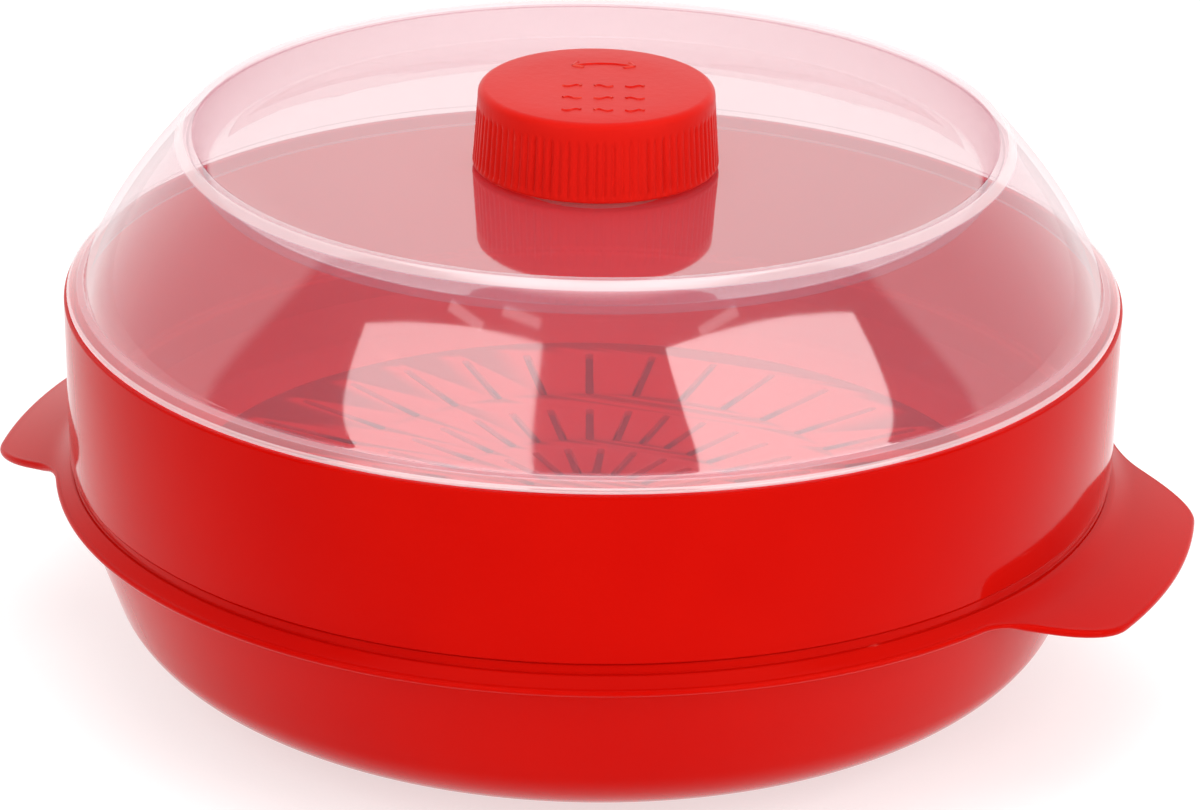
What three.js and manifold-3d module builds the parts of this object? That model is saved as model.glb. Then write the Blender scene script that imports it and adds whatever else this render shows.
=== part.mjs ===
// Microwave popcorn maker: a base bowl with two ears, a slotted popping tray that
// nests in it, a clear domed lid that nests in the tray, and a turning vent knob.
// Millimetres, +Z up. The origin is at the centre of the footprint, on the table.
// +X runs along the ears.

import * as THREE from "three";
import { mergeVertices } from "three/addons/utils/BufferGeometryUtils.js";
import Module from "manifold-3d";

const wasm = await Module();
wasm.setup();

// Driving dimensions
const VESSEL_RADIUS = 120; // outside of the tray's wall at its top
const BOWL_HEIGHT = 51.2; // table to the top of the bowl's lip
const TRAY_WALL_HEIGHT = 38.6; // the tray's shoulder to its top
const LID_RISE = 37.5; // the tray's top to the top of the lid's ridge
const KNOB_HEIGHT = 18.2; // the knob's skirt and crown, without its raised marks

// Clearances
const SEAT_GAP = 0.3; // between two pieces that rest on each other
const NEST_GAP = 0.6; // around a piece that drops into another
const TURN_GAP = 0.25; // around the stem in the lid
const KEY_GAP = 0.3; // around the stem in the pieces that turn with it

// Base bowl
const BOWL_WALL = 2;
const BOWL_FOOT_RADIUS = 66;
const FOOT_HEIGHT = 1.5;
const FOOT_WIDTH = 4;
const SIDE_DRAFT = THREE.MathUtils.degToRad(19.8);
const SIDE_TURN_HEIGHT = 20; // where the side starts to curl into the bottom
const COLLAR_SETBACK = 3; // vessel radius to the inside of the bowl's collar
const COLLAR_DEPTH = 5.4; // how far the straight collar reaches down
const FLANGE_DROP = 2.2; // lip top to the flange's inner edge
const FLANGE_REACH = 2.9; // how far the flange stands out past the vessel radius
const FLANGE_FALL = 2.7; // how far the flange slopes down
const RIM_STEP = 0.6; // how far the flange starts inside the vessel radius
const RIM_EDGE = 0.5; // height of the flange's square outer edge
const RIM_CHAMFER = 0.4;

// Ears
const EAR_REACH = 16.1; // past the flange's edge
const EAR_HALF_WIDTH = 38; // at the outer edge, before the corners are rounded
const EAR_SPREAD = 15; // how much wider each side gets at the root
const EAR_CORNER = 9;
const EAR_THICKNESS = 2;
const EAR_SLOPE = THREE.MathUtils.degToRad(17);

// Popping tray
const TRAY_WALL = 1.8;
const TRAY_DRAFT = 0.5; // how much smaller the wall is at the shoulder
const TRAY_NEST_DEPTH = 15.2; // shoulder to the top of the slotted floor
const TRAY_FLOOR = 1.8;
const TRAY_CORNER = 4;
const RIM_ROUND = 0.4;
const SLOT_WIDTH = 1.8;
// Each ring of slots: how many, and where each slot starts and ends.
const SLOT_RINGS = [
  { count: 24, from: 16, to: 31 },
  { count: 36, from: 36, to: 55 },
  { count: 36, from: 64, to: 90 },
];

// Lid
const LID_WALL = 1.8;
const LID_SETBACK = 0.7; // vessel radius to the edge of the lid's flange
const LID_EDGE = 0.9; // height of that edge
const LID_FLANGE_WIDTH = 2.5; // the flange rises inwards over this width
const LID_FLANGE_RISE = 2.2; // from its underside to its inner, upper end
const LID_STEP = 1.3; // from there in to the foot of the dome
const LID_SKIRT = 2.8; // how far the lid reaches down into the tray
const RIDGE_SETBACK = 28.3; // vessel radius to the top of the ridge
const RIDGE_WIDTH = 3.4;
const DISC_DEPTH = 8.5; // ridge top to the recessed disc
const RIDGE_INNER_SLOPE = 2.6; // how far in the ridge's inner side comes on its way down
const RIDGE_ROUND = 0.6; // how far the ridge's top is rounded down on each side
const SHOULDER_DROP = 2.4; // ridge top to where the dome's curve meets it

// Vents, stem and knob
const STEM_RADIUS = 6;
const STEM_FLAT = 4.6; // from the axis to each of the stem's two flats
const VENT_COUNT = 4;
const VENT_INNER_RADIUS = 11.5;
const VENT_OUTER_RADIUS = 16.5;
const VENT_SPAN = THREE.MathUtils.degToRad(34);
const VENT_TRAVEL = THREE.MathUtils.degToRad(45); // closed to fully open
const WASHER_RADIUS = 10.5;
const WASHER_THICKNESS = 1.5;
const KNOB_RADIUS = 27.8; // at the bottom of the skirt
const KNOB_DRAFT = 1.3;
const KNOB_WALL = 2.2;
const KNOB_ROUND = 2.4;
const KNOB_LIFT = 0.8; // the steam gap under the skirt
const RIB_COUNT = 84;
const RIB_DEPTH = 0.55;
const HUB_RADIUS = 9.5;
const MARK_HEIGHT = 0.35;
const MARK_TURN = THREE.MathUtils.degToRad(19.5); // the marks' right-hand side, from +X
const MARK_SHIFT = 1.5; // the marks stand a little right of the middle
const ARROW_RADIUS = 14.5;
const ARROW_HALF_WIDTH = 0.6;
const ARROW_SPAN = THREE.MathUtils.degToRad(54);
const ARROW_HEAD = THREE.MathUtils.degToRad(10);
const DASH_LENGTH = 4;
const DASH_WIDTH = 1.4;
const DASH_PITCH = 7; // from one dash to the next in a row
const DASH_ROWS = [-0.7, -8.7, -16.7];
const SHUTTER_RADIUS = 18.5;
const SHUTTER_THICKNESS = 1.6;
const TAB_TURN = MARK_TURN + Math.PI / 2 - VENT_TRAVEL / 2; // at the back, where the knob hides it
const TAB_REACH = 6;
const TAB_WIDTH = 6;
const STOP_WIDTH = 3;
const STOP_GAP = 0.4; // between the tab and a stop at each end of the travel
const STOP_CLEAR = 1; // between the shutter's rim and the stops, and past the tab's end
const CLIP_RADIUS = 8.6;
const CLIP_THICKNESS = 1.4;
const CLIP_MOUTH = 7.4; // a little narrower than the groove, so that it snaps on
const GROOVE_DEPTH = 1.4;
const STEM_TAIL = 2; // stem left below the clip's groove

const ROUND = 64; // facets of a large round piece
const MEDIUM_ROUND = 48; // facets of the shutter and the knob's hollow
const SMALL_ROUND = 32; // facets of a small one
const CUT_PAST = 1; // how far a cut runs past the surface it opens, and a join into it

// Levels that follow from the sizes above
const shoulderZ = BOWL_HEIGHT + SEAT_GAP;
const trayTopZ = shoulderZ + TRAY_WALL_HEIGHT;
const trayFloorZ = shoulderZ - TRAY_NEST_DEPTH;
const lidFlangeZ = trayTopZ + SEAT_GAP;
const ridgeZ = trayTopZ + LID_RISE;
const discZ = ridgeZ - DISC_DEPTH;
const discUnderZ = discZ - LID_WALL;
const hubZ = discZ + WASHER_THICKNESS + 2 * SEAT_GAP;
const skirtZ = discZ + KNOB_LIFT;
const knobTopZ = skirtZ + KNOB_HEIGHT;
const shutterTopZ = discUnderZ - SEAT_GAP;
const clipTopZ = shutterTopZ - SHUTTER_THICKNESS - SEAT_GAP;
const stemEndZ = clipTopZ - CLIP_THICKNESS - STEM_TAIL;

// Radii that follow
const collarRadius = VESSEL_RADIUS - COLLAR_SETBACK;
const flangeRadius = VESSEL_RADIUS + FLANGE_REACH;
const lidFlangeRadius = VESSEL_RADIUS - LID_SETBACK;
const ridgeRadius = VESSEL_RADIUS - RIDGE_SETBACK;

const vec = (x, y) => new THREE.Vector2(x, y);

// The bowl's outer side: straight with a draft, down to where it curls in.
function bowlSideRadius(z) {
  const top = collarRadius + BOWL_WALL;
  const start = BOWL_HEIGHT - COLLAR_DEPTH;
  return top - Math.max(0, start - z) * Math.tan(SIDE_DRAFT);
}

// The same line on the inside of the bowl's wall.
function bowlInsideRadius(z) {
  return bowlSideRadius(z) - BOWL_WALL / Math.cos(SIDE_DRAFT);
}

// Moves each point of an open outline sideways, square to the outline, to its left.
function offsetOutline(points, distance) {
  return points.map((point, i) => {
    const before = points[Math.max(i - 1, 0)];
    const after = points[Math.min(i + 1, points.length - 1)];
    const along = after.clone().sub(before).normalize();
    return point.clone().add(vec(-along.y, along.x).multiplyScalar(distance));
  });
}

function arcPoints(cx, cy, radius, from, to, steps) {
  const points = [];
  for (let i = 0; i <= steps; i++) {
    const angle = THREE.MathUtils.degToRad(from + ((to - from) * i) / steps);
    points.push(vec(cx + radius * Math.cos(angle), cy + radius * Math.sin(angle)));
  }
  return points;
}

function toSolid(geometry) {
  const bare = geometry.index ? geometry.toNonIndexed() : geometry.clone();
  bare.deleteAttribute("normal");
  bare.deleteAttribute("uv");
  const merged = mergeVertices(bare, 1e-4);
  const corners = merged.index.array;
  const kept = [];
  for (let i = 0; i < corners.length; i += 3) {
    const [a, b, c] = corners.slice(i, i + 3);
    if (a !== b && b !== c && c !== a) kept.push(a, b, c);
  }
  return new wasm.Manifold(
    new wasm.Mesh({
      numProp: 3,
      vertProperties: merged.attributes.position.array,
      triVerts: new Uint32Array(kept),
    }),
  );
}

function toGeometry(solid) {
  const mesh = solid.getMesh();
  const geometry = new THREE.BufferGeometry();
  geometry.setAttribute("position", new THREE.BufferAttribute(mesh.vertProperties, 3));
  geometry.setIndex(new THREE.BufferAttribute(mesh.triVerts, 1));
  geometry.computeVertexNormals();
  return geometry;
}

// Turns an outline of (radius, height) points round Z. A ring's outline closes on itself.
function revolveGeometry(outline, facets) {
  const onAxis = outline[0].x === 0;
  const points = THREE.ShapeUtils.isClockWise(outline) ? [...outline].reverse() : [...outline];
  if (!onAxis) points.push(points[0].clone());
  return new THREE.LatheGeometry(points, facets).rotateX(Math.PI / 2);
}

function revolve(outline, facets = ROUND) {
  return toSolid(revolveGeometry(outline, facets));
}

// A plain ring with square edges, or a disc when its inner radius is 0.
function ring(inner, outer, low, high, facets = SMALL_ROUND) {
  return revolve([vec(inner, low), vec(outer, low), vec(outer, high), vec(inner, high)], facets);
}

// A flat shape, thickened upwards from a level.
function plate(shape, low, thickness, curveSegments = 12) {
  const options = { depth: thickness, bevelEnabled: false, curveSegments };
  return toSolid(new THREE.ExtrudeGeometry(shape, options).translate(0, 0, low));
}

function box(x0, x1, halfWidth, z0, z1, turn = 0) {
  const geometry = new THREE.BoxGeometry(x1 - x0, 2 * halfWidth, z1 - z0);
  geometry.translate((x0 + x1) / 2, 0, (z0 + z1) / 2);
  return toSolid(geometry.rotateZ(turn));
}

// A slice of a flat ring, centred on an angle.
function ringSlice(inner, outer, centre, span) {
  const shape = new THREE.Shape();
  shape.absarc(0, 0, outer, centre - span / 2, centre + span / 2, false);
  shape.absarc(0, 0, inner, centre + span / 2, centre - span / 2, true);
  shape.closePath();
  return shape;
}

// An ear's outline, with its length along +X: straight flanks that widen towards the
// root, rounded corners, and an outer edge that runs parallel to the rim.
function earShape() {
  const reach = flangeRadius + EAR_REACH;
  const edgeX = Math.sqrt(reach * reach - EAR_HALF_WIDTH * EAR_HALF_WIDTH);
  const rootX = collarRadius + BOWL_WALL / 2;
  const rootHalf = EAR_HALF_WIDTH + EAR_SPREAD;
  const innerX = Math.sqrt(rootX * rootX - rootHalf * rootHalf);
  const corner = vec(edgeX, EAR_HALF_WIDTH);
  const root = vec(innerX, rootHalf);
  const flank = root.clone().sub(corner).normalize();
  const onFlank = corner.clone().addScaledVector(flank, EAR_CORNER);
  const edgeAngle = Math.asin(EAR_HALF_WIDTH / reach) - EAR_CORNER / reach;
  const shape = new THREE.Shape();
  shape.moveTo(innerX, -rootHalf);
  shape.lineTo(onFlank.x, -onFlank.y);
  shape.quadraticCurveTo(corner.x, -corner.y, reach * Math.cos(edgeAngle), -reach * Math.sin(edgeAngle));
  shape.absarc(0, 0, reach, -edgeAngle, edgeAngle, false);
  shape.quadraticCurveTo(corner.x, corner.y, onFlank.x, onFlank.y);
  shape.lineTo(root.x, root.y);
  shape.absarc(0, 0, rootX, Math.asin(rootHalf / rootX), -Math.asin(rootHalf / rootX), true);
  return shape;
}

// The ear slopes down and outwards from the flange's edge.
function ear(turn) {
  const options = { depth: EAR_THICKNESS, bevelEnabled: false, curveSegments: 10 };
  const geometry = new THREE.ExtrudeGeometry(earShape(), options);
  const edgeZ = BOWL_HEIGHT - FLANGE_DROP - FLANGE_FALL;
  const position = geometry.attributes.position;
  for (let i = 0; i < position.count; i++) {
    const radius = Math.hypot(position.getX(i), position.getY(i));
    const fall = (radius - flangeRadius) * Math.tan(EAR_SLOPE);
    position.setZ(i, position.getZ(i) + edgeZ - EAR_THICKNESS - fall);
  }
  return toSolid(geometry.rotateZ(turn));
}

function baseBowl() {
  const turnRadius = bowlSideRadius(SIDE_TURN_HEIGHT);
  const collarStart = BOWL_HEIGHT - COLLAR_DEPTH;
  const curl = new THREE.CubicBezierCurve(
    vec(turnRadius, SIDE_TURN_HEIGHT),
    vec(turnRadius - 0.5 * SIDE_TURN_HEIGHT * Math.tan(SIDE_DRAFT), 0.5 * SIDE_TURN_HEIGHT),
    vec((turnRadius + BOWL_FOOT_RADIUS) / 2 + BOWL_WALL, FOOT_HEIGHT),
    vec(BOWL_FOOT_RADIUS, FOOT_HEIGHT),
  ).getPoints(7);
  const inside = offsetOutline([vec(bowlSideRadius(collarStart), collarStart), ...curl], -BOWL_WALL);
  const flangeTop = BOWL_HEIGHT - FLANGE_DROP;
  const flangeEdge = flangeTop - FLANGE_FALL;
  const lipRadius = collarRadius + BOWL_WALL - RIM_CHAMFER;
  const outline = [
    vec(0, FOOT_HEIGHT),
    vec(BOWL_FOOT_RADIUS - FOOT_WIDTH, FOOT_HEIGHT),
    vec(BOWL_FOOT_RADIUS - FOOT_WIDTH, 0),
    vec(BOWL_FOOT_RADIUS, 0),
    ...curl.reverse(),
    vec(bowlSideRadius(collarStart), collarStart),
    vec(flangeRadius - RIM_CHAMFER, flangeEdge - 2 * RIM_EDGE),
    vec(flangeRadius, flangeEdge - RIM_EDGE),
    vec(flangeRadius, flangeEdge),
    vec(VESSEL_RADIUS - RIM_STEP, flangeTop),
    vec(lipRadius, flangeTop),
    vec(lipRadius, BOWL_HEIGHT),
    vec(collarRadius, BOWL_HEIGHT),
    ...inside,
    vec(0, FOOT_HEIGHT + BOWL_WALL),
  ];
  return revolve(outline).add(ear(0)).add(ear(Math.PI));
}

function poppingTray() {
  const skirtRadius = collarRadius - NEST_GAP;
  const underZ = trayFloorZ - TRAY_FLOOR;
  const skirtAt = (z) => Math.min(skirtRadius, bowlInsideRadius(z) - NEST_GAP);
  const bendZ = BOWL_HEIGHT - COLLAR_DEPTH;
  const footRadius = skirtAt(underZ + TRAY_CORNER);
  const outer = VESSEL_RADIUS - TRAY_DRAFT;
  const outline = [
    vec(0, underZ),
    ...arcPoints(footRadius - TRAY_CORNER, underZ + TRAY_CORNER, TRAY_CORNER, -90, -10, 3),
    vec(skirtAt(bendZ), bendZ),
    vec(skirtRadius, shoulderZ),
    vec(outer, shoulderZ),
    vec(VESSEL_RADIUS, trayTopZ - RIM_ROUND),
    vec(VESSEL_RADIUS - RIM_ROUND, trayTopZ),
    vec(VESSEL_RADIUS - TRAY_WALL, trayTopZ),
    vec(outer - TRAY_WALL, shoulderZ + TRAY_WALL),
    vec(skirtRadius - TRAY_WALL, shoulderZ + TRAY_WALL),
    vec(skirtAt(bendZ) - TRAY_WALL, bendZ),
    vec(footRadius - TRAY_WALL, trayFloorZ + TRAY_CORNER - TRAY_FLOOR),
    vec(footRadius - TRAY_CORNER, trayFloorZ),
    vec(0, trayFloorZ),
  ];
  let tray = revolve(outline);
  for (const { count, from, to } of SLOT_RINGS) {
    for (let i = 0; i < count; i++) {
      const turn = (2 * Math.PI * i) / count;
      const low = underZ - CUT_PAST;
      tray = tray.subtract(box(from, to, SLOT_WIDTH / 2, low, trayFloorZ + CUT_PAST, turn));
    }
  }
  return tray;
}

// The lid's outer surface from the flange up over the ridge and down to the disc.
function lidCrown() {
  const footRadius = lidFlangeRadius - LID_FLANGE_WIDTH - LID_STEP;
  const footZ = lidFlangeZ + LID_FLANGE_RISE + SEAT_GAP;
  const shoulderRadius = ridgeRadius + RIDGE_WIDTH;
  const shoulderHeight = ridgeZ - SHOULDER_DROP;
  const rise = shoulderHeight - footZ;
  const wall = new THREE.CubicBezierCurve(
    vec(footRadius, footZ),
    vec(footRadius - 0.1 * (footRadius - shoulderRadius), footZ + 0.29 * rise),
    vec(footRadius - 0.52 * (footRadius - shoulderRadius), footZ + 0.655 * rise),
    vec(shoulderRadius, shoulderHeight),
  ).getPoints(8);
  const innerRadius = ridgeRadius - RIDGE_WIDTH / 2;
  const ridge = [
    vec(ridgeRadius + RIDGE_WIDTH / 2, ridgeZ - RIDGE_ROUND),
    vec(ridgeRadius, ridgeZ),
    vec(innerRadius, ridgeZ - RIDGE_ROUND),
  ];
  const drop = [
    vec(innerRadius - 0.6 * RIDGE_INNER_SLOPE, discZ + 0.165 * DISC_DEPTH),
    vec(innerRadius - RIDGE_INNER_SLOPE, discZ),
  ];
  return [...wall, ...ridge, ...drop];
}

function lid() {
  const crown = lidCrown();
  const under = offsetOutline(crown, LID_WALL).slice(0, -1).reverse();
  const skirtRadius = VESSEL_RADIUS - TRAY_WALL - NEST_GAP;
  const skirtLow = lidFlangeZ - LID_SKIRT;
  const discEdge = crown[crown.length - 1].x;
  const outline = [
    vec(0, discUnderZ),
    vec(discEdge - LID_WALL / 4, discUnderZ),
    ...under,
    vec(skirtRadius - LID_WALL, skirtLow),
    vec(skirtRadius, skirtLow),
    vec(skirtRadius, lidFlangeZ),
    vec(lidFlangeRadius, lidFlangeZ),
    vec(lidFlangeRadius, lidFlangeZ + LID_EDGE),
    vec(lidFlangeRadius - LID_FLANGE_WIDTH, lidFlangeZ + LID_FLANGE_RISE),
    ...crown,
    vec(0, discZ),
  ];
  let body = revolve(outline);
  for (let i = 0; i < VENT_COUNT; i++) {
    const centre = (2 * Math.PI * i) / VENT_COUNT + MARK_TURN;
    const vent = ringSlice(VENT_INNER_RADIUS, VENT_OUTER_RADIUS, centre, VENT_SPAN);
    body = body.subtract(plate(vent, discUnderZ - CUT_PAST, LID_WALL + 2 * CUT_PAST, 5));
  }
  for (const stop of stopAngles()) {
    const inner = SHUTTER_RADIUS + STOP_CLEAR;
    const outer = SHUTTER_RADIUS + TAB_REACH;
    const low = shutterTopZ - SHUTTER_THICKNESS;
    body = body.add(box(inner, outer, STOP_WIDTH / 2, low, discUnderZ + CUT_PAST, stop));
  }
  const holeRadius = STEM_RADIUS + TURN_GAP;
  return body.subtract(ring(0, holeRadius, discUnderZ - CUT_PAST, discZ + CUT_PAST));
}

// The two stops let the shutter's tab swing from closed to open, and no further.
function stopAngles() {
  const clear = (TAB_WIDTH / 2 + STOP_WIDTH / 2 + STOP_GAP) / SHUTTER_RADIUS;
  return [TAB_TURN - clear, TAB_TURN + VENT_TRAVEL + clear];
}

// The stem's section below the lid: round with two flats.
function keyedRod(radius, flat, low, high) {
  return ring(0, radius, low, high).intersect(box(-radius, radius, flat, low, high, MARK_TURN));
}

// An arc with a head at each end, which says that the knob turns both ways, and under it
// three rows of short dashes. They are raised on the crown, to be read from the front.
function knobMarks() {
  const low = knobTopZ - CUT_PAST;
  const height = CUT_PAST + MARK_HEIGHT;
  const inner = ARROW_RADIUS - ARROW_HALF_WIDTH;
  const outer = ARROW_RADIUS + ARROW_HALF_WIDTH;
  const shaft = ringSlice(inner, outer, Math.PI / 2, ARROW_SPAN);
  const marks = [plate(shaft, low, height, 6)];
  for (const side of [-1, 1]) {
    const back = Math.PI / 2 - (side * (ARROW_SPAN - ARROW_HEAD)) / 2;
    const tip = back - side * ARROW_HEAD;
    const at = (angle, radius) => vec(radius * Math.cos(angle), radius * Math.sin(angle));
    const barb = 3 * ARROW_HALF_WIDTH;
    const head = new THREE.Shape([
      at(tip, ARROW_RADIUS),
      at(back, ARROW_RADIUS - barb),
      at(back, ARROW_RADIUS + barb),
    ]);
    marks.push(plate(head, low, height));
  }
  for (const rowY of DASH_ROWS) {
    for (const column of [-1, 0, 1]) {
      const dash = new THREE.BoxGeometry(DASH_LENGTH, DASH_WIDTH, height);
      dash.translate(DASH_PITCH * column, rowY, low + height / 2);
      marks.push(toSolid(dash));
    }
  }
  const turn = THREE.MathUtils.radToDeg(MARK_TURN);
  return marks.map((mark) => mark.translate([MARK_SHIFT, 0, 0]).rotate([0, 0, turn]));
}

function ventKnob() {
  const topRadius = KNOB_RADIUS - KNOB_DRAFT;
  const roundZ = knobTopZ - KNOB_ROUND;
  const crown = [
    vec(0, skirtZ),
    vec(KNOB_RADIUS, skirtZ),
    vec(topRadius, roundZ),
    ...arcPoints(topRadius - KNOB_ROUND, roundZ, KNOB_ROUND, 30, 90, 2),
    vec(0, knobTopZ),
  ];
  const geometry = revolveGeometry(crown, 2 * RIB_COUNT);
  const position = geometry.attributes.position;
  for (let i = 0; i < position.count; i++) {
    const x = position.getX(i);
    const y = position.getY(i);
    const radius = Math.hypot(x, y);
    const valley = Math.round((Math.atan2(y, x) * RIB_COUNT) / Math.PI) % 2 !== 0;
    if (valley && radius > topRadius - KNOB_ROUND / 20) {
      const scale = (radius - RIB_DEPTH) / radius;
      position.setXY(i, x * scale, y * scale);
    }
  }
  const cavityRadius = topRadius - RIB_DEPTH - KNOB_WALL;
  const hubTopZ = knobTopZ - KNOB_WALL;
  let knob = toSolid(geometry);
  knob = knob.subtract(ring(0, cavityRadius, skirtZ - CUT_PAST, hubTopZ, MEDIUM_ROUND));
  knob = knob.add(ring(0, HUB_RADIUS, hubZ, hubTopZ + CUT_PAST));
  const keyTopZ = shutterTopZ + SEAT_GAP / 2;
  knob = knob.add(ring(0, STEM_RADIUS, keyTopZ, hubZ + CUT_PAST));
  knob = knob.add(keyedRod(STEM_RADIUS, STEM_FLAT, stemEndZ, keyTopZ + CUT_PAST));
  const grooveLow = clipTopZ - CLIP_THICKNESS - SEAT_GAP;
  const grooveHigh = clipTopZ + SEAT_GAP / 2;
  const bottom = STEM_RADIUS - GROOVE_DEPTH;
  knob = knob.subtract(ring(bottom, STEM_RADIUS + CUT_PAST, grooveLow, grooveHigh));
  for (const mark of knobMarks()) knob = knob.add(mark);
  return knob;
}

function knobWasher() {
  const low = discZ + SEAT_GAP;
  return ring(STEM_RADIUS + TURN_GAP, WASHER_RADIUS, low, low + WASHER_THICKNESS);
}

function ventShutter() {
  const low = shutterTopZ - SHUTTER_THICKNESS;
  let shutter = ring(0, SHUTTER_RADIUS, low, shutterTopZ, MEDIUM_ROUND);
  for (let i = 0; i < VENT_COUNT; i++) {
    const centre = (2 * Math.PI * i) / VENT_COUNT + MARK_TURN - VENT_TRAVEL;
    const vent = ringSlice(VENT_INNER_RADIUS, VENT_OUTER_RADIUS, centre, VENT_SPAN);
    shutter = shutter.subtract(plate(vent, low - CUT_PAST, SHUTTER_THICKNESS + 2 * CUT_PAST, 5));
  }
  const tabStart = SHUTTER_RADIUS - CUT_PAST;
  const tabEnd = SHUTTER_RADIUS + TAB_REACH - STOP_CLEAR;
  shutter = shutter.add(box(tabStart, tabEnd, TAB_WIDTH / 2, low, shutterTopZ, TAB_TURN));
  const holeRadius = STEM_RADIUS + KEY_GAP;
  const holeFlat = STEM_FLAT + KEY_GAP;
  return shutter.subtract(keyedRod(holeRadius, holeFlat, low - CUT_PAST, shutterTopZ + CUT_PAST));
}

// A snap ring that sits in the stem's groove, open on one side.
function knobClip() {
  const low = clipTopZ - CLIP_THICKNESS;
  const inner = STEM_RADIUS - GROOVE_DEPTH + KEY_GAP;
  const body = ring(inner, CLIP_RADIUS, low, clipTopZ);
  const end = CLIP_RADIUS + CUT_PAST;
  const mouth = box(0, end, CLIP_MOUTH / 2, low - CUT_PAST, clipTopZ + CUT_PAST, MARK_TURN);
  return body.subtract(mouth);
}

const redPlastic = { color: 0xd20a05, roughness: 0.12, metalness: 0 };
const ribbedPlastic = { color: 0xd8140c, roughness: 0.28, metalness: 0 };
const clearPlastic = { color: 0xf3e4e2, roughness: 0.06, metalness: 0, transparent: true, opacity: 0.35 };
const milkyPlastic = { color: 0xe9e4df, roughness: 0.4, metalness: 0 };
const silicone = { color: 0xd9d4cd, roughness: 0.6, metalness: 0 };

function part(name, solid, look) {
  const mesh = new THREE.Mesh(toGeometry(solid), new THREE.MeshStandardMaterial(look));
  mesh.name = name;
  return mesh;
}

const popcornMaker = new THREE.Group();
popcornMaker.add(
  part("base_bowl", baseBowl(), redPlastic),
  part("popping_tray", poppingTray(), redPlastic),
  part("domed_lid", lid(), clearPlastic),
  part("vent_knob", ventKnob(), ribbedPlastic),
  part("knob_washer", knobWasher(), silicone),
  part("vent_shutter", ventShutter(), milkyPlastic),
  part("knob_clip", knobClip(), milkyPlastic),
);

export default popcornMaker;
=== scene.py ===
import math

import bpy
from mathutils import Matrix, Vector


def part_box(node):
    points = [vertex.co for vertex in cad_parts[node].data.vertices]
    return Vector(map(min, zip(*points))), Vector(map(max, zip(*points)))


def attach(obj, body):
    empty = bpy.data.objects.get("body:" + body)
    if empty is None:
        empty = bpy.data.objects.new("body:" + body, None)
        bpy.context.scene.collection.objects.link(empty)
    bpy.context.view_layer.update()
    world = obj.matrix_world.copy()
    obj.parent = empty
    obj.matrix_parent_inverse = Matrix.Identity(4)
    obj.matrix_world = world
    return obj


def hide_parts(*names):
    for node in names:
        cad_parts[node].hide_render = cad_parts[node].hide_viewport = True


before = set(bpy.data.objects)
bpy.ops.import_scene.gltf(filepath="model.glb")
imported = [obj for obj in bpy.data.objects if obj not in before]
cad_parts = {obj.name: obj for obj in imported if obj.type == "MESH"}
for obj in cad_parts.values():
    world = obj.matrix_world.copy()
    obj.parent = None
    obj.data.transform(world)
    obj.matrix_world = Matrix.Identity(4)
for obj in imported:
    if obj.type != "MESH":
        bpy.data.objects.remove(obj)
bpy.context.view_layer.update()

MM = 0.001


def high(node):
    """The node's highest point, in millimetres."""
    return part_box(node)[1][2] / MM


def low(node):
    """The node's lowest point, in millimetres."""
    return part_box(node)[0][2] / MM


def reach(node):
    """How far the node reaches from the axis along Y, in millimetres."""
    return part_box(node)[1][1] / MM


# ---------------------------------------------------------------- sizes, millimetres
# Levels and radii that the frame gives
VESSEL = reach("popping_tray")
LIP_Z = high("base_bowl")
TRAY_TOP_Z = high("popping_tray")
TRAY_UNDER_Z = low("popping_tray")
FLANGE = reach("base_bowl")
EAR_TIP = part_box("base_bowl")[1][0] / MM
LID_FLANGE = reach("domed_lid")
RIDGE_Z = high("domed_lid")
KNOB_RADIUS = reach("vent_knob")
STEM_END_Z = low("vent_knob")
SHUTTER_LOW_Z = low("vent_shutter")
SHUTTER_TOP_Z = high("vent_shutter")
CLIP_LOW_Z = low("knob_clip")
CLIP_TOP_Z = high("knob_clip")
WASHER_LOW_Z = low("knob_washer")
WASHER_TOP_Z = high("knob_washer")

# Sizes of the moulded walls
WALL = 1.8
SEAT_GAP = 0.3
BOWL_WALL = 2.0
FOOT_RADIUS = 66.0
FOOT_WIDTH = 4.0
FOOT_HEIGHT = 1.5
SIDE_DRAFT = math.radians(19.8)
SIDE_TURN_Z = 20.0
COLLAR = VESSEL - 3.0
COLLAR_DEPTH = 5.4
FLANGE_DROP = 2.2
FLANGE_FALL = 2.7
FLANGE_START = VESSEL - 0.6
FLANGE_UNDER_FALL = 0.14
RIM_BEND = 0.9
EAR_THICKNESS = 2.0
EAR_SLOPE = math.tan(math.radians(17.0))
EAR_HALF_WIDTH = 38.0
EAR_SPREAD = 15.0
EAR_TIP_ROUND = 9.0
EAR_ROOT_ROUND = 5.0
EAR_BLEND = 4.0
RIM_EDGE = 0.8
NEST_GAP = 0.6
TRAY_DRAFT = 0.5
TRAY_CORNER = 4.0
TRAY_FOOT_INSET = 0.36 * TRAY_CORNER
SHOULDER_Z = LIP_Z + SEAT_GAP
TRAY_FLOOR_Z = TRAY_UNDER_Z + WALL
FLOOR_PLATE = 97.0
SLOT_HALF_WIDTH = 0.9
SLOT_RINGS = ((24, 16.0, 31.0), (36, 36.0, 55.0), (36, 64.0, 90.0))
LID_FLANGE_Z = TRAY_TOP_Z + SEAT_GAP
LID_EDGE = 0.9
LID_FLANGE_WIDTH = 2.5
LID_FLANGE_RISE = 2.2
LID_STEP = 1.3
LID_SKIRT_Z = low("domed_lid")
RIDGE_RADIUS = VESSEL - 28.3
RIDGE_WIDTH = 3.4
RIDGE_SHOULDER_DROP = 2.4
DISC_DEPTH = 8.5
DISC_Z = RIDGE_Z - DISC_DEPTH
DISC_UNDER_Z = DISC_Z - WALL
STEM_RADIUS = 6.0
STEM_FLAT = 4.6
TURN_GAP = 0.25
KEY_GAP = 0.3
VENT_COUNT = 4
VENT_INNER = 11.5
VENT_OUTER = 16.5
VENT_HALF_SPAN = 17.0
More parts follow.
